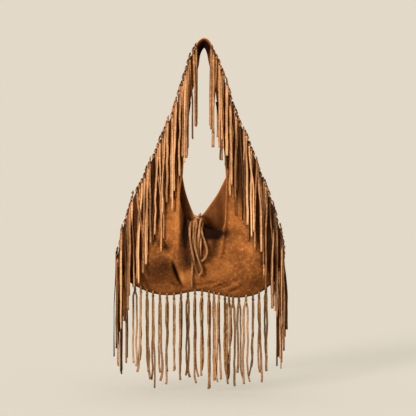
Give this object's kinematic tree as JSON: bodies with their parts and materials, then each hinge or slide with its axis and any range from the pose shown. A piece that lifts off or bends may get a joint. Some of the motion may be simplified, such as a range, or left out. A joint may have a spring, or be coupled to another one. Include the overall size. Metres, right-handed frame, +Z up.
{
  "type": "fringed suede shoulder bag",
  "caption": "Slouchy suede shoulder bag, two panels laced together along their edges and hem, the lace ends hanging as fringe, with a tie at the neck.",
  "frame": {"origin": "under the top of the strap, where a hook or a shoulder holds the bag", "axes": "+Z up, the way the strap is held; -Y towards the front; +X to the right seen from the front"},
  "size_m": [0.3346, 0.0852, 0.7161],
  "materials": {
    "suede": "raw brown suede with a mottled nap",
    "lace": "tan suede lace with raw cut edges"
  },
  "bodies": {
    "root": {"front_panel": "suede", "back_panel": "suede", "shoulder_strap": "suede", "hem_lace_01": "lace", "hem_lace_02": "lace", "hem_lace_03": "lace", "hem_lace_04": "lace", "hem_lace_05": "lace", "hem_lace_06": "lace", "hem_lace_07": "lace", "hem_lace_08": "lace", "hem_lace_09": "lace", "hem_lace_10": "lace", "hem_lace_11": "lace", "hem_lace_12": "lace", "hem_lace_13": "lace", "hem_lace_14": "lace", "hem_lace_15": "lace", "hem_lace_16": "lace", "hem_lace_17": "lace", "hem_lace_18": "lace", "hem_lace_19": "lace", "hem_lace_20": "lace", "hem_lace_21": "lace", "hem_lace_22": "lace", "left_laces_01": "lace", "left_laces_02": "lace", "left_laces_03": "lace", "left_laces_04": "lace", "left_laces_05": "lace", "left_laces_06": "lace", "left_laces_07": "lace", "left_laces_08": "lace", "left_laces_09": "lace", "left_laces_10": "lace", "left_laces_11": "lace", "left_laces_12": "lace", "left_laces_13": "lace", "left_laces_14": "lace", "left_laces_15": "lace", "right_laces_01": "lace", "right_laces_02": "lace", "right_laces_03": "lace", "right_laces_04": "lace", "right_laces_05": "lace", "right_laces_06": "lace", "right_laces_07": "lace", "right_laces_08": "lace", "right_laces_09": "lace", "right_laces_10": "lace", "right_laces_11": "lace", "right_laces_12": "lace", "right_laces_13": "lace", "right_laces_14": "lace", "right_laces_15": "lace", "tie_lace_front": "lace", "tie_lace_back": "lace"}
  },
  "joints": []
}
